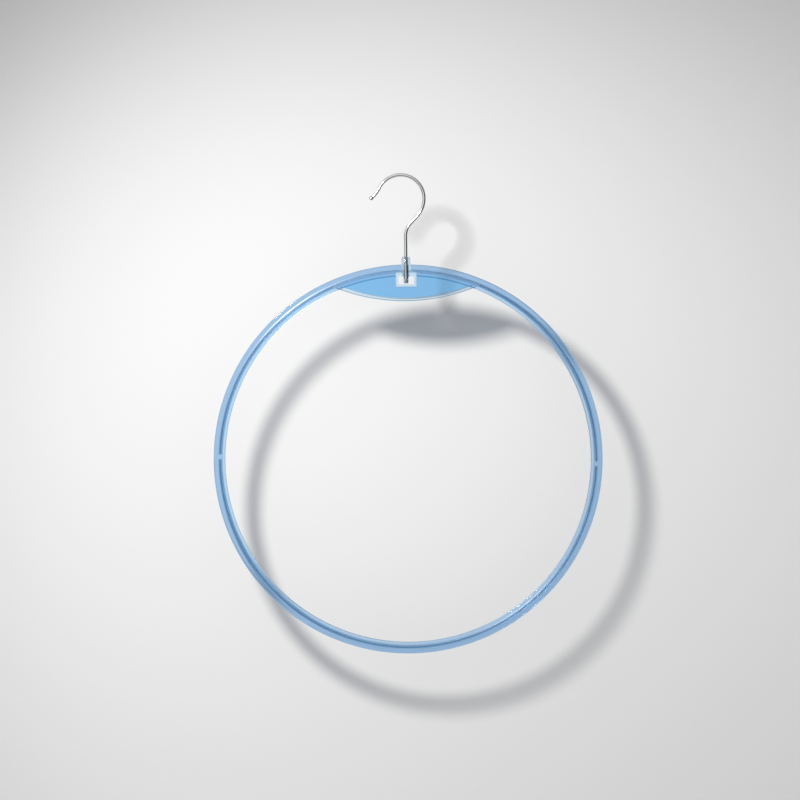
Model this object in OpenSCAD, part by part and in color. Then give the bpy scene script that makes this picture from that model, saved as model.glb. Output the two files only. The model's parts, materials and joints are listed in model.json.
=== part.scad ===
// Ring hanger for scarves: a clear moulded ring on a steel wire hook that swivels in the ring's socket.
// The origin is where a wardrobe rail bears, inside the crown of the hook.
// +Z is up, +X is to the right and the front faces -Y.

/* [Ring] */
// Outer diameter of the ring
ring_d = 350; // [260:1:420]
// Width of the ring's band, seen from the front
band_w = 10.5; // [9:0.1:13]
// Thickness of the band, front to back
band_t = 2; // [1.6:0.1:2.6]
// Distance from the ring's outer edge to the middle of its rib
rib_in = 6; // [5:0.1:7]
// Thickness of the rib
rib_t = 1.2; // [1:0.1:2]
// Depth of the rib, front to back
rib_depth = 8; // [6:0.1:9]

/* [Moulding points] */
// Place of the left moulding point, counted anticlockwise from the right
left_point_angle = 178.7; // [170:0.1:190]
// Place of the right moulding point
right_point_angle = -2.1; // [-10:0.1:10]
// Length of the gap in the rib at a moulding point
point_gap = 4.6; // [3.6:0.1:7]
// Diameter of the nub left in the gap
nub_d = 2; // [1.4:0.1:2.4]
// Height that the nub stands off the band
nub_h = 1; // [0.4:0.1:1.6]

/* [Name panel] */
// Width of the lens-shaped panel from tip to tip
panel_w = 120; // [90:1:140]
// Height of the panel below the band, at its middle
panel_h = 22.4; // [19:0.1:30]
// Thickness of the panel
panel_t = 2.4; // [2:0.1:2.8]
// Distance that the panel lies behind the middle of the band
panel_set = 1.2; // [0.9:0.1:1.4]
// Width of the rim along the panel's lower edge
rim_w = 3.2; // [2.8:0.1:3.4]
// Thickness of the rim, front to back
rim_t = 4; // [3.6:0.1:5]

/* [Window] */
// Width of the window in the panel
window_w = 14.1; // [13:0.1:18]
// Height of the window
window_h = 7.4; // [7.2:0.1:9]
// Width of the wall round the window
wall_w = 2.3; // [2:0.1:3.4]
// Depth of that wall, front to back
wall_depth = 6; // [5.6:0.1:7]
// Radius of the wall's lower corners
wall_r = 1; // [0.4:0.1:1.6]

/* [Hook socket] */
// Diameter of the collar where it meets the ring
collar_d = 9.2; // [8:0.1:11]
// Diameter of the collar at its top
collar_top_d = 6.8; // [6:0.1:7.6]
// Height of the collar above the ring
collar_h = 6.9; // [5:0.1:12]
// Width of the chamfer at the mouth of the bore
mouth = 0.4; // [0.2:0.05:0.6]
// Diameter of the snap fingers at their root
finger_d = 5.6; // [5.2:0.1:6.4]
// Diameter of the snap fingers at their tip
finger_tip_d = 4.6; // [4.4:0.1:5]
// Length of the snap fingers
finger_l = 6.4; // [6:0.1:7]
// Width of the slit between the fingers
slit_w = 0.8; // [0.5:0.1:1.2]
// Length of the lip that snaps into the groove of the stem
lip_l = 1.2; // [0.8:0.1:1.6]
// Distance from the tips of the fingers up to the lip
lip_up = 2.6; // [2.2:0.1:3.2]

/* [Hook] */
// Diameter of the wire
wire_d = 3.2; // [2.8:0.1:3.6]
// Inside diameter of the hook's loop
loop_d = 39.1; // [34:0.1:50]
// Radius at the middle of the wire where the loop eases towards the stem
ease_r = 24.3; // [23:0.1:32]
// Angle of the slanting run below the loop, from the vertical
slant_angle = 43.5; // [38:0.5:50]
// Radius at the middle of the wire where the slanting run turns down
neck_r = 16.2; // [8:0.1:20]
// Distance from the loop's middle across to the stem
stem_x = 4.2; // [0:0.1:6]
// Distance from the loop's middle down to the top of the collar
neck_h = 52.7; // [48:0.1:80]
// Angle of the wire, from the vertical, where the loop ends on the left
mouth_angle = 28; // [22:1:36]
// Length of the straight run between the loop and the outward turn at the mouth
flare_run = 1; // [0.4:0.1:3]
// Radius at the middle of the wire of that turn
flare_r = 28; // [20:1:40]
// Angle of that turn
flare_angle = 20; // [10:1:30]
// Depth of the groove that the lip snaps into
groove_depth = 0.4; // [0.3:0.05:0.5]
// Length of the cone on the end of the stem
nose_l = 1; // [0.6:0.1:1.2]

/* [Ball tip] */
// Diameter of the ball on the free end
ball_d = 4.3; // [4.2:0.1:6]
// Diameter of the spigot that carries the ball
spigot_d = 1.8; // [1.4:0.1:2.2]
// Length of the spigot
spigot_l = 2; // [1.4:0.1:2.2]

/* [Clearances] */
// Clearance round the stem in its bore
stem_gap = 0.08; // [0.04:0.01:0.1]
// Clearance above and below the lip in the groove
lip_gap = 0.1; // [0.05:0.05:0.2]
// Clearance from the end of the stem up to the tips of the fingers
nose_gap = 0.3; // [0.2:0.1:0.5]
// Clearance round the spigot and past its end
spigot_gap = 0.02; // [0.01:0.01:0.05]

/* [Hidden] */
$fn = 96;
round_fn = 64;
cut = 1;

// The loop of the hook, the slanting run and the turn down to the stem, at the middle of the wire
loop_z = -loop_d / 2;
loop_r = (loop_d + wire_d) / 2;
loop_end = 180 - mouth_angle;
slant_x = loop_r - ease_r * (1 - cos(slant_angle));
slant_l = (slant_x - stem_x - neck_r * (1 - cos(slant_angle))) / sin(slant_angle);
neck_z = loop_z - (ease_r + neck_r) * sin(slant_angle) - slant_l * cos(slant_angle);
seat_h = sqrt(pow(ball_d / 2, 2) - pow(wire_d / 2, 2));

// The ring hangs under the collar
ring_r = ring_d / 2;
collar_z = loop_z - neck_h;
ring_top = collar_z - collar_h;
ring_z = ring_top - ring_r;
inner_r = ring_r - band_w;
rib_r = ring_r - rib_in;
inner_top = ring_z + inner_r;

// The panel's lower edge is an arc through its two tips and its lowest point
tip_drop = inner_r - sqrt(pow(inner_r, 2) - pow(panel_w / 2, 2));
sag = panel_h - tip_drop;
edge_r = (pow(panel_w / 2, 2) + pow(sag, 2)) / (2 * sag);
edge_z = inner_top - panel_h + edge_r;

// The window hangs under the band, and the fingers hang in the window
window_z = inner_top - window_h;
finger_z = inner_top - finger_l;
lip_z = finger_z + lip_up;
groove_l = lip_l + 2 * lip_gap;
groove_z = lip_z - lip_gap;
groove_d = wire_d - 2 * groove_depth;
stem_l = neck_z - groove_z - groove_l;
land_l = groove_z - finger_z - nose_gap - nose_l;
stem_bore_d = wire_d + 2 * stem_gap;
lip_bore_d = groove_d + 2 * stem_gap;

// A bar's outline with fully rounded ends, lying along X
module bar_outline(length, thickness) {
    square([length - thickness, thickness], center = true);
    for (side = [-1, 1])
        translate([side * (length - thickness) / 2, 0])
            circle(d = thickness, $fn = round_fn);
}

// Puts what is drawn in the XY plane upright, facing the front, with its middle at x, z
module upright(x, z) {
    translate([x, 0, z])
        rotate([90, 0, 0])
            children();
}

// The ring: a flat band with a rib standing out of both of its faces
module ring_section() {
    translate([ring_r - band_w / 2, 0])
        bar_outline(band_w, band_t);
    translate([rib_r, 0])
        rotate(90)
            bar_outline(rib_depth, rib_t);
}

// A place where the rib stops short on both faces of the band
module rib_gap(place) {
    upright(stem_x, ring_z)
        rotate(place)
            for (side = [-1, 1])
                translate([rib_r, 0, side * (band_t + rib_depth) / 2])
                    cube([2 * rib_t, point_gap, rib_depth], center = true);
}

// The round nub that stands in the middle of such a gap
module nub(place) {
    upright(stem_x, ring_z)
        rotate(place)
            translate([rib_r, 0, 0])
                cylinder(d = nub_d, h = band_t / 2 + nub_h, $fn = round_fn);
}

// The ring with its gaps and its nub
module ring() {
    difference() {
        upright(stem_x, ring_z)
            rotate_extrude()
                ring_section();
        rib_gap(left_point_angle);
        rib_gap(right_point_angle);
    }
    nub(left_point_angle);
}

// The lens-shaped web and the rounded rim on its lower edge, both ending inside the ring's rib
module panel() {
    translate([0, panel_set, 0]) {
        upright(stem_x, 0)
            linear_extrude(panel_t, center = true)
                intersection() {
                    translate([0, ring_z])
                        circle(r = rib_r);
                    translate([0, edge_z])
                        circle(r = edge_r - rim_w / 2);
                }
        intersection() {
            upright(stem_x, edge_z)
                rotate_extrude()
                    translate([edge_r - rim_w / 2, 0])
                        rotate(90)
                            bar_outline(rim_t, rim_w);
            upright(stem_x, ring_z)
                cylinder(r = rib_r, h = 2 * rim_t, center = true);
        }
    }
}

// The raised wall round the window, from below the window up to the rib
module window_wall() {
    half = window_w / 2 + wall_w;
    low = window_z - wall_w;
    upright(stem_x, 0)
        linear_extrude(wall_depth, center = true) {
            translate([-half, low + wall_r])
                square([2 * half, ring_z + rib_r - rib_t - low - wall_r]);
            translate([wall_r - half, low])
                square([2 * (half - wall_r), wall_r]);
            for (side = [-1, 1])
                translate([side * (half - wall_r), low + wall_r])
                    circle(r = wall_r, $fn = round_fn);
        }
}

// What the window cuts out of the panel and its wall
module window_opening() {
    translate([stem_x - window_w / 2, -wall_depth, window_z])
        cube([window_w, 2 * wall_depth, window_h]);
}

// The collar above the ring and the boss that carries its bore down through the band
module socket_body() {
    translate([stem_x, 0, ring_top])
        cylinder(d1 = collar_d, d2 = collar_top_d, h = collar_h);
    translate([stem_x, 0, inner_top])
        cylinder(d = collar_d, h = band_w);
}

// The two fingers hang from the boss, parted by the slit
module fingers() {
    difference() {
        translate([stem_x, 0, finger_z])
            cylinder(d1 = finger_tip_d, d2 = finger_d, h = finger_l + cut);
        translate([stem_x - slit_w / 2, -finger_d, finger_z - cut])
            cube([slit_w, 2 * finger_d, finger_l + cut]);
    }
}

// The bore runs from the mouth of the collar to the tips of the fingers, and narrows at the lip
module socket_bore() {
    translate([stem_x, 0, lip_z + lip_l])
        cylinder(d = stem_bore_d, h = collar_z + cut - lip_z - lip_l);
    translate([stem_x, 0, lip_z - cut])
        cylinder(d = lip_bore_d, h = lip_l + 2 * cut);
    translate([stem_x, 0, finger_z - cut])
        cylinder(d = stem_bore_d, h = lip_up + cut);
    translate([stem_x, 0, collar_z - mouth])
        cylinder(d1 = stem_bore_d, d2 = stem_bore_d + 2 * mouth, h = mouth);
}

// The whole moulding: the fingers are added after the window is cut, and the bore goes through them last
module ring_frame() {
    color([0.55, 0.76, 0.93, 0.75])
        difference() {
            union() {
                difference() {
                    union() {
                        ring();
                        panel();
                        window_wall();
                        socket_body();
                    }
                    window_opening();
                }
                fingers();
            }
            socket_bore();
        }
}

// The frame at the end of a bend: the wire starts along +Z and turns towards +X, or -X where side is -1
module after_bend(radius, angle, side) {
    translate([side * radius, 0, 0])
        rotate([0, side * angle, 0])
            translate([-side * radius, 0, 0])
                children();
}

// A bend, drawn a little too long and cut off square, and what follows it
module bend(radius, angle, side) {
    spare = 1;
    difference() {
        translate([side * radius, 0, 0])
            rotate([90, 0, 90 + side * 90])
                rotate_extrude(angle = angle + spare)
                    translate([radius, 0])
                        circle(d = wire_d, $fn = round_fn);
        after_bend(radius, angle, side)
            translate([-wire_d, -wire_d, 0])
                cube(2 * wire_d);
    }
    after_bend(radius, angle, side)
        children();
}

// A straight length, and what follows it
module run(diameter, length) {
    cylinder(d = diameter, h = length, $fn = round_fn);
    translate([0, 0, length])
        children();
}

// The wire at the right of its loop, running up
module at_loop_right() {
    translate([loop_r, 0, loop_z])
        children();
}

// The frame of the free end: its Z axis runs on along the wire
module at_tip() {
    at_loop_right()
        after_bend(loop_r, loop_end, -1)
            translate([0, 0, flare_run])
                after_bend(flare_r, flare_angle, 1)
                    children();
}

// From the right of its loop the wire runs up and round to the free end, and down to its nose in the fingers
module hook_wire() {
    color("silver") {
        at_loop_right()
            bend(loop_r, loop_end, -1)
                run(wire_d, flare_run)
                    bend(flare_r, flare_angle, 1)
                        run(spigot_d, spigot_l);
        at_loop_right()
            rotate([0, 180, 0])
                bend(ease_r, slant_angle, 1)
                    run(wire_d, slant_l)
                        bend(neck_r, slant_angle, -1)
                            run(wire_d, stem_l)
                                run(groove_d, groove_l)
                                    run(wire_d, land_l)
                                        nose();
    }
}

// The cone on the end of the stem that opens the fingers
module nose() {
    cylinder(d1 = wire_d, d2 = wire_d - nose_l, h = nose_l, $fn = round_fn);
}

// A ball with a flat seat and a blind hole, pressed on the spigot
module hook_tip() {
    color("gainsboro")
        at_tip()
            difference() {
                translate([0, 0, seat_h])
                    sphere(d = ball_d);
                translate([0, 0, -ball_d])
                    cylinder(d = 2 * ball_d, h = ball_d);
                cylinder(d = spigot_d + 2 * spigot_gap, h = spigot_l + spigot_gap, $fn = round_fn);
            }
}

ring_frame();
hook_wire();
hook_tip();
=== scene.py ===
import json
from math import acos, asin, atan2, cos, pi, radians, sin, sqrt
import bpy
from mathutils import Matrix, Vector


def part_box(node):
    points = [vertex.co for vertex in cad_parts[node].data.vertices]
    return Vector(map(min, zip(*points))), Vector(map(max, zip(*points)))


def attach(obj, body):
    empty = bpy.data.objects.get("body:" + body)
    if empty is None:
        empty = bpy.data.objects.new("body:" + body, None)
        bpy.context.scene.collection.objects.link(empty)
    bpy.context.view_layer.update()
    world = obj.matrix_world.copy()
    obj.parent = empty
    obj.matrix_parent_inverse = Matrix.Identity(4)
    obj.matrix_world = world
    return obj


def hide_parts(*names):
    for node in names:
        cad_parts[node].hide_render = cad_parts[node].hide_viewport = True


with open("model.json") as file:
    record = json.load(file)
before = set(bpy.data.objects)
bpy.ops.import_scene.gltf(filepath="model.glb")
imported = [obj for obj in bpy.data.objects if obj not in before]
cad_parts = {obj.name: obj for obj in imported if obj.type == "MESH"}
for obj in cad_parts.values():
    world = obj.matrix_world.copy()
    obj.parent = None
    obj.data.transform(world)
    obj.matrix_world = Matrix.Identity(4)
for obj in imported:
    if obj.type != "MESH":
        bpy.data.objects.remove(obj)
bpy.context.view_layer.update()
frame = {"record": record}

from types import SimpleNamespace

import bmesh
import bpy
from bpy.props import FloatProperty, FloatVectorProperty, PointerProperty
from mathutils import Matrix, Quaternion, Vector

bl_info = {
    "name": "Ring hanger for scarves",
    "version": (1, 0, 0),
    "blender": (4, 5, 0),
    "location": "3D View > Sidebar > Ring hanger",
    "description": "Makes the clear ring, its steel wire hook and the stage they hang in",
    "category": "Add Mesh",
}

MM = 0.001
FRONT = Vector((0, -1, 0))
BACK = Vector((0, 1, 0))
ACROSS = Vector((1, 0, 0))
UP = Vector((0, 0, 1))
FULL_TURN = 2 * pi
# Vertices nearer than this become one.
MERGE = 0.002 * MM
# The share of a full rounding that leaves no face without width.
NEARLY = 0.98
# Steps in a turned piece or a long arc, and the turn of one step in a bend of the wire.
ARC_STEPS = 96
BEND_STEP = radians(2)
# The picture's side in pixels, and the length that one of them shows at the hanger.
PICTURE = 800
PIXEL = 0.9 * MM

swivel = frame["record"]["behaviour"]["joints"][0]
STEM_X = swivel["pos_m"][0]
ring_low, ring_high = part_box("ring_frame")
RING_R = (ring_high[0] - ring_low[0]) / 2


def length(name, description, default):
    """A property that holds a length, with its default in metres."""
    return FloatProperty(name=name, description=description, default=default, min=0, unit="LENGTH",
                         precision=5)


def angle(name, description, default):
    """A property that holds an angle, with its default in degrees."""
    return FloatProperty(name=name, description=description, default=radians(default), subtype="ANGLE")


def linear(code):
    """The linear colour of an sRGB hex value."""
    parts = [int(code[i:i + 2], 16) / 255 for i in (0, 2, 4)]
    return [c / 12.92 if c <= 0.04045 else ((c + 0.055) / 1.055) ** 2.4 for c in parts]


def colour(name, description, code):
    """A property that holds a colour, with its default as an sRGB hex value."""
    return FloatVectorProperty(name=name, description=description, default=linear(code), size=3,
                               subtype="COLOR", min=0, max=1)


class RingSettings(bpy.types.PropertyGroup):
    """Sizes and colours of the ring, the panel and the socket."""

    band_w: length("Band width", "Width of the ring's band, seen from the front", 10.5 * MM)
    band_t: length("Band thickness", "Thickness of the band, front to back", 2 * MM)
    rib_in: length("Rib inset", "Distance from the ring's outer edge to the middle of its rib", 6 * MM)
    rib_t: length("Rib thickness", "Thickness of the rib", 1.2 * MM)
    rib_depth: length("Rib depth", "Depth of the rib, front to back", 8 * MM)
    left_point: angle("Left moulding point", "Its place, counted anticlockwise from the right", 178.7)
    right_point: angle("Right moulding point", "Its place, counted anticlockwise from the right", -2.1)
    point_gap: length("Gap", "Length of the gap in the rib at a moulding point", 4.6 * MM)
    nub_d: length("Nub", "Diameter of the nub left in the gap", 2 * MM)
    nub_h: length("Nub height", "Height that the nub stands off the band", 1 * MM)
    panel_w: length("Panel width", "Width of the lens-shaped panel from tip to tip", 120 * MM)
    panel_h: length("Panel height", "Height of the panel below the band", 22.4 * MM)
    panel_t: length("Panel thickness", "Thickness of the panel", 2.4 * MM)
    panel_set: length("Panel set", "Distance that the panel lies behind the middle of the band", 1.2 * MM)
    rim_w: length("Rim width", "Width of the rim along the panel's lower edge", 3.2 * MM)
    rim_t: length("Rim thickness", "Thickness of the rim, front to back", 4 * MM)
    window_w: length("Window width", "Width of the window in the panel", 14.1 * MM)
    window_h: length("Window height", "Height of the window", 7.4 * MM)
    wall_w: length("Wall width", "Width of the wall round the window", 2.3 * MM)
    wall_depth: length("Wall depth", "Depth of that wall, front to back", 6 * MM)
    wall_r: length("Wall corner", "Radius of the wall's lower corners", 1 * MM)
    collar_d: length("Collar", "Diameter of the collar where it meets the ring", 9.2 * MM)
    collar_top_d: length("Collar top", "Diameter of the collar at its top", 6.8 * MM)
    collar_h: length("Collar height", "Height of the collar above the ring", 6.9 * MM)
    mouth: length("Mouth", "Width of the chamfer at the mouth of the bore", 0.4 * MM)
    finger_d: length("Finger root", "Diameter of the snap fingers at their root", 5.6 * MM)
    finger_tip_d: length("Finger tip", "Diameter of the snap fingers at their tip", 4.6 * MM)
    finger_l: length("Finger length", "Length of the snap fingers", 6.4 * MM)
    slit_w: length("Slit", "Width of the slit between the fingers", 0.8 * MM)
    lip_l: length("Lip", "Length of the lip that snaps into the stem's groove", 1.2 * MM)
    lip_up: length("Lip height", "Distance from the tips of the fingers up to the lip", 2.6 * MM)
    foot_w: length("Foot width", "Width of the sloping foot on each side of the rib, on the front", 1.6 * MM)
    foot_h: length("Foot height", "Height of that foot where it meets the rib", 0.6 * MM)
    root_r: length("Fillet", "Radius of the fillets where the rib meets its foot", 0.4 * MM)
    slope_w: length("Slope width", "Width of the sloping margins of the band", 1.2 * MM)
    slope_d: length("Slope depth", "Depth that those margins slope away, on each face", 0.2 * MM)
    dye: colour("Dye", "Colour that the body of the plastic lets through", "7cd5f9")
    dye_density: FloatProperty(name="Dye density", description="Density of the dye, per metre of plastic",
                               default=60, min=0)
    band_tint: colour("Band tint", "Tint of what is seen through the band", "a7cbee")
    # Painted shade: a dark line along the band's inner edge where it stands in front of the panel.
    edge_shade_tint: colour("Edge tint", "Tint of the band's inner edge where it stands over the panel", "3f7fbc")
    # Painted shade: the rib's tips are painted dark, a little for the deeper colour of the rib's depth of
    # plastic seen end-on, mostly for the darkness that refraction gives them. The rim's lowest edge is
    # painted dark for the shade on its rounded edge.
    rib_shade_tint: colour("Rib tint", "Tint of the rib's tips and of the lowest edge of the panel's rim", "5787b0")
    web_tint: colour("Web tint", "Tint of what is seen through the panel's web", "88c8f6")
    inner_tint: colour("Inner tint", "Tint of the rib's sides and of the band inside the rib", "c4e2fc")
    # Painted light: the rim, the window's wall, the collar and the fingers are painted near white for the
    # light that their edges gather and the highlights on them.
    painted_light_tint: colour("Pale tint", "Tint of the rim, the window's wall, the collar and the fingers", "edf7fd")
    shade: colour("Shade", "Colour that each face of the plastic leaves of the lamp's light", "7c8fa2")


class HookSettings(bpy.types.PropertyGroup):
    """Sizes and colour of the wire hook and its ball."""

    wire_d: length("Wire", "Diameter of the wire", 3.2 * MM)
    loop_d: length("Loop", "Inside diameter of the hook's loop", 39.1 * MM)
    ease_r: length("Easing radius", "Radius where the loop eases towards the stem", 24.3 * MM)
    slant: angle("Slant", "Angle of the slanting run below the loop, from the vertical", 43.5)
    neck_r: length("Neck radius", "Radius where the slanting run turns down", 16.2 * MM)
    neck_h: length("Neck height", "Distance from the loop's middle down to the top of the collar", 52.7 * MM)
    mouth_slant: angle("Mouth", "Angle of the wire where the loop ends", 28)
    flare_run: length("Run", "Length of the straight run before the outward turn", 1 * MM)
    flare_r: length("Turn radius", "Radius of the outward turn at the mouth", 28 * MM)
    flare: angle("Turn", "Angle of the outward turn", 20)
    groove_depth: length("Groove", "Depth of the groove that the lip snaps into", 0.4 * MM)
    nose_l: length("Nose", "Length of the cone on the end of the stem", 1 * MM)
    stem_gap: length("Clearance", "Clearance round the stem in its bore", 0.08 * MM)
    ball_d: length("Ball", "Diameter of the ball on the free end", 4.3 * MM)
    steel: colour("Steel", "Colour of the plated steel", "dcdcda")


class StageSettings(bpy.types.PropertyGroup):
    """The wall behind the hanger, the floor under it, the lamp and the camera."""

    wall_gap: length("Wall gap", "Distance from the middle of the hanger back to the wall", 60 * MM)
    camera_gap: length("Camera distance", "Distance from the middle of the hanger to the camera", 2.5)
    tilt: angle("Tilt", "Angle that the hanger hangs at in the view, about the hook's loop", 0.65)
    wall: colour("Wall", "Colour of the wall and the floor", "f4f4f4")
    key: FloatProperty(name="Key", description="Power of the key lamp", default=60, min=0, subtype="POWER")
    key_size: length("Key size", "Radius of the key lamp", 0.12)
    ambient: FloatProperty(name="Ambient", description="Strength of the room's light", default=0.38, min=0)


# Geometry helpers: each piece is built in its own bmesh, in metres, where the CAD has it.


def finish_mesh(bm, name):
    """Closes up a bmesh, turns its faces outwards and makes it an object at the origin."""
    bmesh.ops.remove_doubles(bm, verts=bm.verts, dist=MERGE)
    bmesh.ops.recalc_face_normals(bm, faces=bm.faces)
    mesh = bpy.data.meshes.new(name)
    bm.to_mesh(mesh)
    bm.free()
    piece = bpy.data.objects.new(name, mesh)
    bpy.context.scene.collection.objects.link(piece)
    return piece


def smooth(piece, sharp):
    """Smooth shading that keeps the edges sharper than the given angle."""
    piece.data.shade_smooth()
    piece.data.set_sharp_from_angle(angle=sharp)


def combine(piece, operation, others):
    """Adds other closed pieces to one, or cuts them out of it, and clears away slivers and the others."""
    for other in others:
        step = piece.modifiers.new(operation, "BOOLEAN")
        step.operation = operation
        step.solver = "EXACT"
        step.object = other
    seen = bpy.context.evaluated_depsgraph_get()
    joined = bpy.data.meshes.new_from_object(piece.evaluated_get(seen))
    bm = bmesh.new()
    bm.from_mesh(joined)
    bmesh.ops.remove_doubles(bm, verts=bm.verts, dist=MERGE)
    bmesh.ops.dissolve_degenerate(bm, edges=bm.edges, dist=MERGE)
    bm.to_mesh(joined)
    bm.free()
    old = piece.data
    piece.modifiers.clear()
    piece.data = joined
    joined.name = piece.name
    bpy.data.meshes.remove(old)
    for other in others:
        bpy.data.meshes.remove(other.data)


def bar(bm, centre, half_across, half_deep):
    """A four-cornered face that faces up, as the outline of a bar."""
    corners = [(-1, -1), (1, -1), (1, 1), (-1, 1)]
    bm.faces.new([bm.verts.new(centre + ACROSS * (a * half_across) + BACK * (d * half_deep))
                  for a, d in corners])


def round_corners(bm, verts, radius, segments):
    """Rounds the corners of a flat face."""
    bmesh.ops.bevel(bm, geom=list(verts), offset=radius, offset_type="OFFSET", affect="VERTICES",
                    segments=segments, profile=0.5, material=-1)


def spin_outline(bm, centre, axis, turn, steps):
    """Spins a flat face round an axis: a full turn leaves a closed ring, a part turn is capped."""
    face = bm.faces[:]
    if turn == FULL_TURN:
        bmesh.ops.delete(bm, geom=face, context="FACES_ONLY")
        bmesh.ops.spin(bm, geom=bm.verts[:] + bm.edges[:], cent=centre, axis=axis, angle=turn,
                       steps=steps, use_merge=True)
    else:
        bmesh.ops.spin(bm, geom=bm.verts[:] + bm.edges[:] + face, cent=centre, axis=axis, angle=turn,
                       steps=steps, use_merge=False, use_duplicate=False)


def fill_box(bm, low, high):
    """Fills a bmesh with a box between two corners."""
    place = Matrix.Translation((low + high) / 2) @ Matrix.Diagonal((*(high - low), 1))
    bmesh.ops.create_cube(bm, size=1, matrix=place)


def block(name, low, high):
    """A box between two corners, as a piece."""
    bm = bmesh.new()
    fill_box(bm, low, high)
    return finish_mesh(bm, name)


def lathe(name, points):
    """A turned piece round the stem's axis, from radius and height pairs that start and end on the axis."""
    bm = bmesh.new()
    verts = [bm.verts.new((STEM_X + r, 0, z)) for r, z in points]
    for one, two in zip(verts, verts[1:]):
        bm.edges.new((one, two))
    bmesh.ops.spin(bm, geom=bm.verts[:] + bm.edges[:], cent=(STEM_X, 0, 0), axis=UP, angle=FULL_TURN,
                   steps=ARC_STEPS, use_merge=True)
    return finish_mesh(bm, name)


def swing(at, heading, radius, turn, side):
    """The centre, axis, end and new heading of a bend, to the right of its heading where side is 1."""
    centre = at + heading.cross(FRONT) * side * radius
    axis = FRONT if side < 0 else BACK
    turned = Matrix.Rotation(turn, 3, axis)
    return centre, axis, centre + turned @ (at - centre), turned @ heading


def node(tree, kind, settings=(), links=()):
    """Adds a node with its settings, which are inputs or properties, and links from other nodes' outputs."""
    made = tree.nodes.new(kind)
    for key, value in dict(settings).items():
        if isinstance(key, str) and key in made.bl_rna.properties and key not in made.inputs:
            setattr(made, key, value)
        else:
            made.inputs[key].default_value = value
    for into, source in dict(links).items():
        tree.links.new(source, made.inputs[into])
    return made


def new_material(name):
    """An empty material and its node tree."""
    material = bpy.data.materials.new(name)
    material.use_nodes = True
    material.node_tree.nodes.clear()
    return material, material.node_tree


def wear(piece, material):
    """Gives a piece its one material."""
    piece.data.materials.clear()
    piece.data.materials.append(material)


def ring_plan(s):
    """The places that the ring's shapes share: its middle, its radii and the panel's lower arc."""
    centre = Vector((STEM_X, 0, ring_low[2] + RING_R))
    inner_r = RING_R - s.band_w
    half = s.panel_w / 2
    inner_top = centre.z + inner_r
    sag = s.panel_h - (inner_r - sqrt(inner_r ** 2 - half ** 2))
    edge_r = (half ** 2 + sag ** 2) / (2 * sag)
    return SimpleNamespace(
        centre=centre, inner_r=inner_r, rib_r=RING_R - s.rib_in, top=centre.z + RING_R, inner_top=inner_top,
        window_z=inner_top - s.window_h, edge_r=edge_r,
        edge=Vector((STEM_X, s.panel_set, inner_top - s.panel_h + edge_r)),
    )


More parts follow.
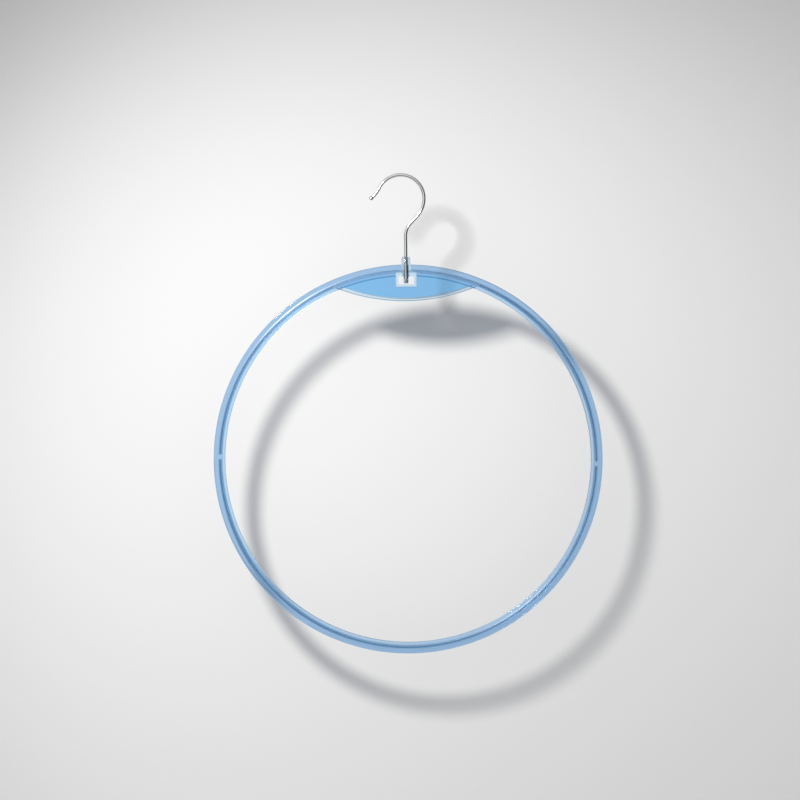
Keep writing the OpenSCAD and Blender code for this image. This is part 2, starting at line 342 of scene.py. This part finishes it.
class ScarfRing(bpy.types.Operator):
    """The clear ring with its panel, window and hook socket, as one moulding"""

    bl_idname = "scarf_hanger.ring"
    bl_label = "Clear ring"

    def execute(self, context):
        s = context.scene.scarf_ring
        hook = context.scene.scarf_hook
        plan = ring_plan(s)
        centre, rib_r, inner_top = plan.centre, plan.rib_r, plan.inner_top

        piece = self.band(s, centre, rib_r)
        points = [self.point_block(s, centre, rib_r, place, side)
                  for place in (s.left_point, s.right_point) for side in (-1, 1)]
        combine(piece, "DIFFERENCE", points)

        parts = [self.nub(s, centre, rib_r), *self.panel(s, plan)]
        parts.append(self.window_wall(s, plan.window_z, centre.z + rib_r - s.rib_t))
        parts.append(self.collar(s, plan.top, inner_top))
        combine(piece, "UNION", parts)

        half = s.window_w / 2
        deep = s.wall_depth
        combine(piece, "DIFFERENCE", [block("window", Vector((STEM_X - half, -deep, plan.window_z)),
                                            Vector((STEM_X + half, deep, inner_top)))])
        combine(piece, "UNION", [self.fingers(s, inner_top)])
        combine(piece, "DIFFERENCE", [self.bore(s, hook, plan.top, inner_top)])

        smooth(piece, radians(30))
        self.tint(s, plan, piece.data)
        wear(piece, clear_plastic(s))
        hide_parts("ring_frame")
        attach(piece, "ring")
        return {"FINISHED"}

    def tint(self, s, plan, mesh):
        """Writes each face's tint, with 1 in the alpha where the plastic is satin."""
        # The tints paint shade on the rib's tips, the rim's lowest edge and the band's inner edge over the
        # panel, and paint light on the rest of the rim, the window's wall, the collar and the fingers.
        near = 0.05 * MM
        wall_half = s.window_w / 2 + s.wall_w + near
        wall_low = plan.window_z - s.wall_w - near
        web_back = s.panel_set + s.panel_t / 2
        half_t, half_rib = s.band_t / 2, s.rib_t / 2
        tip = s.rib_depth / 2 - half_rib
        tints = mesh.attributes.new("tint", "FLOAT_COLOR", "FACE")
        for face, value in zip(mesh.polygons, tints.data):
            at = face.center
            deep, across = abs(at.y), abs(at.x - STEM_X)
            # How far the face is from the ring's middle, the rib, and the middle of the panel's arc.
            out = (Vector((at.x, 0, at.z)) - plan.centre).length
            from_rib = abs(out - plan.rib_r)
            below = (Vector((at.x, s.panel_set, at.z)) - plan.edge).length
            over = below < plan.edge_r
            # Painted light on the window's wall, the collar and the fingers.
            if (across < wall_half and wall_low < at.z < plan.inner_top + near
                    or across < s.collar_d / 2 + near and at.z > wall_low):
                tint = s.painted_light_tint
            # Painted shade on the rim's lowest edge.
            elif out < plan.inner_r and below > plan.edge_r - s.rim_w / 4:
                tint = s.rib_shade_tint
            # Painted light on the rim.
            elif out < plan.inner_r and below > plan.edge_r - s.rim_w:
                tint = s.painted_light_tint
            # Painted shade: the dark line along the band's inner edge in front of the panel.
            elif over and at.y < -near and plan.inner_r - near < out < plan.inner_r + half_t:
                tint = s.edge_shade_tint
            elif out < plan.inner_r or abs(at.y - web_back) < near:
                tint = s.web_tint
            # Painted shade on the rib's tips, partly the deeper colour of the rib's depth of plastic.
            elif not over and from_rib < half_rib + near and deep > tip:
                tint = s.rib_shade_tint
            elif not over and out < plan.rib_r + half_rib + near and (
                    out < plan.rib_r - half_rib or deep > half_t + s.foot_h):
                tint = s.inner_tint
            else:
                tint = s.band_tint
            satin = at.y < -half_t - near and from_rib < half_rib + s.foot_w
            value.color = (*tint, float(satin))

    def band(self, s, centre, rib_r):
        """The flat band with a rib standing out of both faces, and on the front a foot on each side of it."""
        bm = bmesh.new()
        mid = centre + ACROSS * (RING_R - s.band_w / 2)
        rib = centre + ACROSS * rib_r
        half_w, half_t = s.band_w / 2, s.band_t / 2
        half_rib, half_deep = s.rib_t / 2, s.rib_depth / 2
        edge_t = half_t - s.slope_d
        foot = half_rib + s.foot_w
        margin = ((half_w, edge_t), (half_w - s.slope_w, half_t))
        # Each face of the band, the front first, from its edge up the rib's side and down to its other edge.
        outline = []
        for side, foot_t in ((-1, half_t + s.foot_h), (1, half_t)):
            flank = ((foot, half_t), (half_rib, foot_t), (half_rib, half_deep))
            outline += [mid + Vector((side * x, side * y, 0)) for x, y in margin]
            outline += [rib + Vector((side * x, side * y, 0)) for x, y in flank]
            outline += [rib + Vector((-side * x, side * y, 0)) for x, y in reversed(flank)]
            outline += [mid + Vector((-side * x, side * y, 0)) for x, y in reversed(margin)]
        verts = [bm.verts.new(p) for p in outline]
        bm.faces.new(verts)
        # The radius and segments of each kind of corner, four of a kind.
        small = s.root_r / 2
        rounding = ((edge_t * NEARLY, 5), (small, 3), (small, 3), (s.root_r, 5), (half_rib * NEARLY, 6))
        count = len(verts)
        for place, (radius, segments) in enumerate(rounding):
            alike = (place, count // 2 - 1 - place, count // 2 + place, count - 1 - place)
            round_corners(bm, [verts[i] for i in alike], radius, segments)
        round_steps = 360
        spin_outline(bm, centre, FRONT, FULL_TURN, round_steps)
        return finish_mesh(bm, "clear_ring")

    def point_block(self, s, centre, rib_r, place, side):
        """What a moulding point takes out of the rib and its foot on one face of the band."""
        bm = bmesh.new()
        spare = 1.1
        size = (s.rib_t + 2 * spare * s.foot_w, s.rib_depth, s.point_gap)
        # It reaches a hair into the band, so that no two faces lie on each other.
        into = 0.01 * MM
        out = side * ((s.band_t + s.rib_depth) / 2 - into)
        shift = Matrix.Translation((rib_r, out, 0)) @ Matrix.Diagonal((*size, 1))
        turned = Matrix.Translation(centre) @ Matrix.Rotation(-place, 4, "Y")
        bmesh.ops.create_cube(bm, size=1, matrix=turned @ shift)
        return finish_mesh(bm, "point_block")

    def nub(self, s, centre, rib_r):
        """The round nub in the left moulding point's gap."""
        bm = bmesh.new()
        high = s.band_t / 2 + s.nub_h
        soft = 0.3 * MM
        place = (Matrix.Translation(centre) @ Matrix.Rotation(-s.left_point, 4, "Y")
                 @ Matrix.Translation((rib_r, -high / 2, 0)) @ Matrix.Rotation(pi / 2, 4, "X"))
        bmesh.ops.create_cone(bm, cap_ends=True, segments=32, radius1=s.nub_d / 2, radius2=s.nub_d / 2,
                              depth=high, matrix=place)
        rim = [e for e in bm.edges if all(v.co.y < -high + MERGE for v in e.verts)]
        bmesh.ops.bevel(bm, geom=rim, offset=soft, offset_type="OFFSET", affect="EDGES", segments=3,
                        profile=0.5, material=-1)
        return finish_mesh(bm, "nub")

    def panel(self, s, plan):
        """The lens-shaped web and the rounded rim on its lower edge, both ending inside the rib."""
        centre, rib_r, edge = plan.centre, plan.rib_r, plan.edge
        low_r = plan.edge_r - s.rim_w / 2
        drop = edge.z - centre.z
        # Half of the web's spread, seen from the ring's middle and from the middle of its lower arc.
        tip = acos((rib_r ** 2 + drop ** 2 - low_r ** 2) / (2 * rib_r * drop))
        low_tip = asin(rib_r * sin(tip) / low_r)

        bm = bmesh.new()
        start = bm.verts.new(Vector((STEM_X - rib_r * sin(tip), s.panel_set - s.panel_t / 2,
                                     centre.z + rib_r * cos(tip))))
        bmesh.ops.spin(bm, geom=[start], cent=centre, axis=BACK, angle=2 * tip, steps=ARC_STEPS)
        bmesh.ops.spin(bm, geom=[start], cent=edge, axis=FRONT, angle=2 * low_tip, steps=ARC_STEPS)
        bmesh.ops.remove_doubles(bm, verts=bm.verts, dist=MERGE)
        face = bmesh.ops.contextual_create(bm, geom=bm.edges[:])["faces"]
        deep = bmesh.ops.extrude_face_region(bm, geom=face)
        moved = [g for g in deep["geom"] if isinstance(g, bmesh.types.BMVert)]
        bmesh.ops.translate(bm, verts=moved, vec=BACK * s.panel_t)
        web = finish_mesh(bm, "web")

        # The rim is spun a little past the web's tips and cut off round the rib's middle.
        bm = bmesh.new()
        spare = radians(1.5)
        spread = low_tip + spare
        rim_steps, cut_segments = 140, 720
        bar(bm, edge + ACROSS * low_r, s.rim_w / 2, s.rim_t / 2)
        round_corners(bm, bm.verts[:], s.rim_w / 2 * NEARLY, 8)
        bmesh.ops.rotate(bm, verts=bm.verts, cent=edge, matrix=Matrix.Rotation(pi / 2 - spread, 3, "Y"))
        spin_outline(bm, edge, BACK, 2 * spread, rim_steps)
        rim = finish_mesh(bm, "rim")
        bm = bmesh.new()
        place = Matrix.Translation(centre) @ Matrix.Rotation(pi / 2, 4, "X")
        bmesh.ops.create_cone(bm, cap_ends=True, segments=cut_segments, radius1=rib_r, radius2=rib_r,
                              depth=4 * s.rim_t, matrix=place)
        inside = finish_mesh(bm, "inside")
        combine(rim, "INTERSECT", [inside])
        return web, rim

    def window_wall(self, s, window_z, top):
        """The raised wall round the window, with softened edges."""
        half = s.window_w / 2 + s.wall_w
        deep = s.wall_depth / 2
        soft = 0.4 * MM
        bm = bmesh.new()
        low, high = Vector((STEM_X - half, -deep, window_z - s.wall_w)), Vector((STEM_X + half, deep, top))
        fill_box(bm, low, high)
        corners = [e for e in bm.edges if all(v.co.z < low.z + MERGE for v in e.verts)
                   and abs(e.verts[0].co.y - e.verts[1].co.y) > MERGE]
        bmesh.ops.bevel(bm, geom=corners, offset=s.wall_r, offset_type="OFFSET", affect="EDGES", segments=6,
                        profile=0.5, material=-1)
        # The edges of its front and back, apart from those that end inside the band.
        faces = [f for f in bm.faces if abs(f.normal.y) > abs(f.normal.x) + abs(f.normal.z)]
        rims = [e for f in faces for e in f.edges if not all(v.co.z > high.z - MERGE for v in e.verts)]
        bmesh.ops.bevel(bm, geom=rims, offset=soft, offset_type="OFFSET", affect="EDGES", segments=3,
                        profile=0.5, material=-1)
        return finish_mesh(bm, "window_wall")

    def collar(self, s, ring_top, inner_top):
        """The tapered collar above the ring and the boss below it."""
        top = ring_top + s.collar_h
        low_r, top_r = s.collar_d / 2, s.collar_top_d / 2
        soft = 0.4 * MM
        cut = 0.3 * soft
        return lathe("collar", [(0, inner_top), (low_r, inner_top), (low_r, ring_top), (top_r, top - soft),
                                (top_r - cut, top - cut), (top_r - soft, top), (0, top)])

    def fingers(self, s, inner_top):
        """The two snap fingers, parted by the slit."""
        tip = inner_top - s.finger_l
        tip_r, root_r = s.finger_tip_d / 2, s.finger_d / 2
        over, hair = 1 * MM, 0.02 * MM
        soft = 0.25 * MM
        pair = lathe("fingers", [(0, tip), (tip_r - soft, tip), (tip_r, tip + soft), (root_r, inner_top),
                                 (root_r, inner_top + over), (0, inner_top + over)])
        half, reach = s.slit_w / 2, s.finger_d
        combine(pair, "DIFFERENCE", [block("slit", Vector((STEM_X - half, -reach, tip - over)),
                                           Vector((STEM_X + half, reach, inner_top - hair)))])
        return pair

    def bore(self, s, hook, ring_top, inner_top):
        """The stepped bore, from the mouth of the collar to the tips of the fingers."""
        top = ring_top + s.collar_h
        tip = inner_top - s.finger_l
        lip = tip + s.lip_up
        wide = hook.wire_d / 2 + hook.stem_gap
        tight = wide - hook.groove_depth
        over = 1 * MM
        return lathe("bore", [(0, tip - over), (wide, tip - over), (wide, lip), (tight, lip),
                              (tight, lip + s.lip_l), (wide, lip + s.lip_l), (wide, top - s.mouth),
                              (wide + s.mouth + over, top + over), (0, top + over)])


class HookWire(bpy.types.Operator):
    """The bent steel wire, from its free end to the nose in the snap fingers"""

    bl_idname = "scarf_hanger.hook"
    bl_label = "Wire hook"

    def execute(self, context):
        s = context.scene.scarf_hook
        ring = context.scene.scarf_ring
        radius = s.wire_d / 2
        loop_r = (s.loop_d + s.wire_d) / 2
        loop_z = -s.loop_d / 2
        right = Vector((loop_r, 0, loop_z))
        tip_chamfer = 0.2 * MM

        bm = bmesh.new()
        bmesh.ops.create_circle(bm, segments=40, radius=radius, matrix=Matrix.Translation(right))
        first = bm.edges[:]
        # Up and round to the free end.
        end, at, heading = self.bend(bm, first, right, UP, loop_r, pi - s.mouth_slant, -1)
        end, at, heading = self.run(bm, end, at, heading, s.flare_run)
        end, at, heading = self.bend(bm, end, at, heading, s.flare_r, s.flare, 1)
        self.close(bm, end, at, heading, tip_chamfer)
        # Down to the nose.
        end, at, heading = self.bend(bm, first, right, -UP, s.ease_r, s.slant, 1)
        slant_l = (at.x - STEM_X - s.neck_r * (1 - cos(s.slant))) / sin(s.slant)
        end, at, heading = self.run(bm, end, at, heading, slant_l)
        end, at, heading = self.bend(bm, end, at, heading, s.neck_r, s.slant, -1)
        collar_z = loop_z - s.neck_h
        inner_top = collar_z - ring.collar_h - ring.band_w
        finger_z = inner_top - ring.finger_l
        lip_gap, nose_gap = 0.1 * MM, 0.3 * MM
        groove_top = finger_z + ring.lip_up + ring.lip_l + lip_gap
        groove_low = finger_z + ring.lip_up - lip_gap
        end, at, heading = self.run(bm, end, at, heading, at.z - groove_top)
        end = self.step(bm, end, at, (radius - s.groove_depth) / radius)
        end, at, heading = self.run(bm, end, at, heading, groove_top - groove_low)
        end = self.step(bm, end, at, radius / (radius - s.groove_depth))
        end, at, heading = self.run(bm, end, at, heading, groove_low - finger_z - nose_gap - s.nose_l)
        self.close(bm, end, at, heading, s.nose_l, narrowing=0.5)
        piece = finish_mesh(bm, "bent_wire")
        smooth(piece, radians(35))
        wear(piece, plated_steel(s))
        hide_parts("hook_wire")
        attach(piece, "hook")
        return {"FINISHED"}

    def bend(self, bm, edges, at, heading, radius, turn, side):
        """Carries the wire's end round a bend, to the right of its heading where side is 1."""
        centre, axis, at, heading = swing(at, heading, radius, turn, side)
        steps = max(8, round(turn / BEND_STEP))
        out = bmesh.ops.spin(bm, geom=edges, cent=centre, axis=axis, angle=turn, steps=steps)
        end = [g for g in out["geom_last"] if isinstance(g, bmesh.types.BMEdge)]
        return end, at, heading

    def extend(self, bm, edges):
        """Gives the wire a new end, which still lies on the old one."""
        made = bmesh.ops.extrude_edge_only(bm, edges=edges)["geom"]
        verts = [g for g in made if isinstance(g, bmesh.types.BMVert)]
        end = [g for g in made if isinstance(g, bmesh.types.BMEdge) and all(v in verts for v in g.verts)]
        return end, verts

    def run(self, bm, edges, at, heading, distance):
        """Carries the wire's end straight on."""
        end, verts = self.extend(bm, edges)
        bmesh.ops.translate(bm, verts=verts, vec=heading * distance)
        return end, at + heading * distance, heading

    def step(self, bm, edges, at, factor):
        """Narrows or widens the wire's end where it stands."""
        end, verts = self.extend(bm, edges)
        for v in verts:
            v.co = at + (v.co - at) * factor
        return end

    def close(self, bm, edges, at, heading, distance, narrowing=1.0):
        """Ends the wire in a chamfer or cone, and caps it."""
        radius = (edges[0].verts[0].co - at).length
        end, tip, _ = self.run(bm, edges, at, heading, distance)
        for v in {v for e in end for v in e.verts}:
            v.co = tip + (v.co - tip) * ((radius - distance * narrowing) / radius)
        bmesh.ops.contextual_create(bm, geom=end)


class HookBall(bpy.types.Operator):
    """The ball pressed on the wire's free end"""

    bl_idname = "scarf_hanger.ball"
    bl_label = "Ball"

    def execute(self, context):
        s = context.scene.scarf_hook
        loop_r = (s.loop_d + s.wire_d) / 2
        # The wire's end, round the loop, along the short run and round the outward turn.
        _, _, at, heading = swing(Vector((loop_r, 0, -s.loop_d / 2)), UP, loop_r, pi - s.mouth_slant, -1)
        _, _, at, heading = swing(at + heading * s.flare_run, heading, s.flare_r, s.flare, 1)
        radius = s.ball_d / 2
        seat = sqrt(radius ** 2 - (s.wire_d / 2) ** 2)
        middle = at + heading * seat
        # Half of the ball's outline, from its far pole to the rim of its seat, and the seat to its middle.
        bm = bmesh.new()
        start = bm.verts.new(middle + heading * radius)
        open_angle = pi - asin(s.wire_d / 2 / radius)
        out = bmesh.ops.spin(bm, geom=[start], cent=middle, axis=BACK, angle=open_angle, steps=40)
        rim = [g for g in out["geom_last"] if isinstance(g, bmesh.types.BMVert)][0]
        inner = bm.verts.new(at)
        bm.edges.new((rim, inner))
        bmesh.ops.spin(bm, geom=bm.verts[:] + bm.edges[:], cent=middle, axis=heading, angle=FULL_TURN,
                       steps=64, use_merge=True)
        piece = finish_mesh(bm, "hook_ball")
        smooth(piece, radians(35))
        wear(piece, plated_steel(s))
        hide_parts("hook_tip")
        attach(piece, "hook")
        return {"FINISHED"}


def clear_plastic(s):
    """Moulded polycarbonate, dyed light blue: clear, glossy, and deeper in colour where it is thicker. The
    tints of its faces also hold painted shade and painted light.
    """
    name = "clear blue polycarbonate, moulded gloss"
    material, tree = new_material(name)
    place = node(tree, "ShaderNodeTexCoord")
    # The moulding's flow leaves the gloss a little uneven, in patches about 8 mm across.
    flow = node(tree, "ShaderNodeTexNoise", {"Scale": 120, "Detail": 2}, {"Vector": place.outputs["Object"]})
    gloss = node(tree, "ShaderNodeMapRange", {"To Min": 0.02, "To Max": 0.05}, {"Value": flow.outputs["Fac"]})
    # The faces' tint goes into the base colour: painted shade on the rib's tips, the rim's lowest edge and
    # the band's inner edge over the panel, painted light on the rim, the window's wall, the collar and the
    # fingers.
    tint = node(tree, "ShaderNodeAttribute", {"attribute_name": "tint"})
    # Scarves rub the front of the rib and its foot satin, which spreads the lamp's highlight along the ring.
    satin_roughness = 0.28
    satin = node(tree, "ShaderNodeMath", {"operation": "MULTIPLY_ADD", 1: satin_roughness},
                 {0: tint.outputs["Alpha"], 2: gloss.outputs["Result"]})
    shell = node(tree, "ShaderNodeBsdfPrincipled", {"IOR": 1.585, "Transmission Weight": 1.0},
                 {"Base Color": tint.outputs["Color"], "Roughness": satin.outputs["Value"]})
    dye = node(tree, "ShaderNodeVolumeAbsorption", {"Color": (*s.dye, 1), "Density": s.dye_density})
    light = node(tree, "ShaderNodeLightPath")
    shade = node(tree, "ShaderNodeBsdfTransparent", {"Color": (*s.shade, 1)})
    # Light that reaches or leaves a wall through the plastic passes straight on, so its shadow has no grain.
    through = node(tree, "ShaderNodeMath", {"operation": "MAXIMUM"},
                   {0: light.outputs["Is Shadow Ray"], 1: light.outputs["Is Diffuse Ray"]})
    both = node(tree, "ShaderNodeMixShader", {},
                {0: through.outputs["Value"], 1: shell.outputs["BSDF"], 2: shade.outputs["BSDF"]})
    node(tree, "ShaderNodeOutputMaterial", {},
         {"Surface": both.outputs["Shader"], "Volume": dye.outputs["Volume"]})
    return material


def plated_steel(s):
    """Nickel-plated steel wire, drawn and then polished: mirror bright with faint drawing marks."""
    name = "nickel-plated steel, polished"
    found = bpy.data.materials.get(name)
    if found:
        return found
    material, tree = new_material(name)
    place = node(tree, "ShaderNodeTexCoord")
    # The real marks are finer. These are about 1 mm across, as coarse as they need to be to show.
    marks = node(tree, "ShaderNodeTexNoise", {"Scale": 900, "Detail": 3}, {"Vector": place.outputs["Object"]})
    gloss = node(tree, "ShaderNodeMapRange", {"To Min": 0.05, "To Max": 0.1}, {"Value": marks.outputs["Fac"]})
    shell = node(tree, "ShaderNodeBsdfPrincipled", {"Base Color": (*s.steel, 1), "Metallic": 1.0},
                 {"Roughness": gloss.outputs["Result"]})
    node(tree, "ShaderNodeOutputMaterial", {}, {"Surface": shell.outputs["BSDF"]})
    return material


def painted_wall(s):
    """Matt white paint on the wall and the floor, seen only from the room's side."""
    material, tree = new_material("matt white wall paint")
    place = node(tree, "ShaderNodeNewGeometry")
    paint = node(tree, "ShaderNodeBsdfDiffuse", {"Color": (*s.wall, 1)})
    clear = node(tree, "ShaderNodeBsdfTransparent")
    both = node(tree, "ShaderNodeMixShader", {},
                {0: place.outputs["Backfacing"], 1: paint.outputs["BSDF"], 2: clear.outputs["BSDF"]})
    node(tree, "ShaderNodeOutputMaterial", {}, {"Surface": both.outputs["Shader"]})
    return material


def studio_room(s):
    """Even light from the room. What shines shows it bright to the upper left and dark elsewhere."""
    bright_side = (-0.33, -0.8, 0.5)
    world = bpy.data.worlds.new("studio")
    world.use_nodes = True
    tree = world.node_tree
    tree.nodes.clear()
    place = node(tree, "ShaderNodeTexCoord")
    side = node(tree, "ShaderNodeVectorMath", {"operation": "DOT_PRODUCT", 1: bright_side},
                {0: place.outputs["Generated"]})
    glow = node(tree, "ShaderNodeMapRange",
                {"interpolation_type": "SMOOTHSTEP", "From Min": 0.6, "From Max": 0.85, "To Min": 0.01},
                {"Value": side.outputs["Value"]})
    light = node(tree, "ShaderNodeLightPath")
    strength = node(tree, "ShaderNodeMapRange", {"To Min": s.ambient},
                    {"Value": light.outputs["Is Glossy Ray"], "To Max": glow.outputs["Result"]})
    sky = node(tree, "ShaderNodeBackground", {"Color": (1, 1, 1, 1)},
               {"Strength": strength.outputs["Result"]})
    node(tree, "ShaderNodeOutputWorld", {}, {"Surface": sky.outputs["Background"]})
    return world


class Stage(bpy.types.Operator):
    """The wall, the floor, the lamp and the camera"""

    bl_idname = "scarf_hanger.stage"
    bl_label = "Stage"

    def execute(self, context):
        s = context.scene.scarf_stage
        loop = Vector((0, 0, -context.scene.scarf_hook.loop_d / 2))
        # The middle of the picture, from the middle of the hook's loop.
        aim = Vector((-0.5 * MM, 0, -181.45 * MM))
        view = loop + Matrix.Rotation(s.tilt, 3, "Y") @ aim
        paint = painted_wall(s)
        floor_drop, wide = 1.5, 10.0
        floor_z = ring_low[2] - floor_drop
        # A plane faces up, so the wall's is turned to face the front.
        upright = Matrix.Rotation(pi / 2, 4, "X")
        for name, place in (
            ("wall", Matrix.Translation((0, s.wall_gap, floor_z + wide / 2)) @ upright),
            ("floor", Matrix.Translation((0, s.wall_gap - wide / 2, floor_z))),
        ):
            bm = bmesh.new()
            bmesh.ops.create_grid(bm, x_segments=1, y_segments=1, size=wide / 2, matrix=place)
            mesh = bpy.data.meshes.new(name)
            bm.to_mesh(mesh)
            bm.free()
            piece = bpy.data.objects.new(name, mesh)
            context.scene.collection.objects.link(piece)
            wear(piece, paint)

        key = bpy.data.lights.new("key", "SPOT")
        key.energy = s.key
        key.shadow_soft_size = s.key_size
        key.spot_size = radians(75)
        key.spot_blend = 1.0
        lamp_at, lit_spot = Vector((-0.56, -0.9, 0.46)), Vector((0.22, s.wall_gap, -0.63))
        self.put(context, key, lamp_at, lit_spot)
        context.scene.world = studio_room(s)

        lens = bpy.data.cameras.new("camera")
        lens.angle = 2 * atan2(PICTURE / 2 * PIXEL, s.camera_gap)
        lens.clip_start = 0.01
        camera = self.put(context, lens, view + FRONT * s.camera_gap, view, -s.tilt)
        context.scene.camera = camera
        context.scene.view_settings.view_transform = "Standard"
        return {"FINISHED"}

    def put(self, context, data, at, towards, roll=0.0):
        """Places a lamp or the camera, looking at a point and rolled about its line of sight."""
        thing = bpy.data.objects.new(data.name, data)
        thing.location = at
        turn = (towards - at).to_track_quat("-Z", "Y") @ Quaternion((0, 0, 1), roll)
        thing.rotation_euler = turn.to_euler()
        context.scene.collection.objects.link(thing)
        return thing


class HangerPanel(bpy.types.Panel):
    """Lists the hanger's settings and its makers"""

    bl_idname = "VIEW3D_PT_scarf_hanger"
    bl_label = "Ring hanger"
    bl_space_type = "VIEW_3D"
    bl_region_type = "UI"
    bl_category = "Ring hanger"

    def draw(self, context):
        for group, makers in GROUPS.items():
            settings = getattr(context.scene, group)
            column = self.layout.column(align=True)
            for name in settings.__annotations__:
                column.prop(settings, name)
            for maker in makers:
                column.operator(maker.bl_idname)


GROUPS = {"scarf_ring": (ScarfRing,), "scarf_hook": (HookWire, HookBall), "scarf_stage": (Stage,)}
SETTINGS = {"scarf_ring": RingSettings, "scarf_hook": HookSettings, "scarf_stage": StageSettings}
OPERATORS = [maker for makers in GROUPS.values() for maker in makers]


def register():
    for kind in (*SETTINGS.values(), *OPERATORS, HangerPanel):
        bpy.utils.register_class(kind)
    for name, kind in SETTINGS.items():
        setattr(bpy.types.Scene, name, PointerProperty(type=kind))


def unregister():
    for name in SETTINGS:
        delattr(bpy.types.Scene, name)
    for kind in reversed((*SETTINGS.values(), *OPERATORS, HangerPanel)):
        bpy.utils.unregister_class(kind)


def main():
    """Makes the hanger and its stage."""
    register()
    bpy.ops.scarf_hanger.ring()
    bpy.ops.scarf_hanger.hook()
    bpy.ops.scarf_hanger.ball()
    bpy.ops.scarf_hanger.stage()


if __name__ == "__main__":
    main()
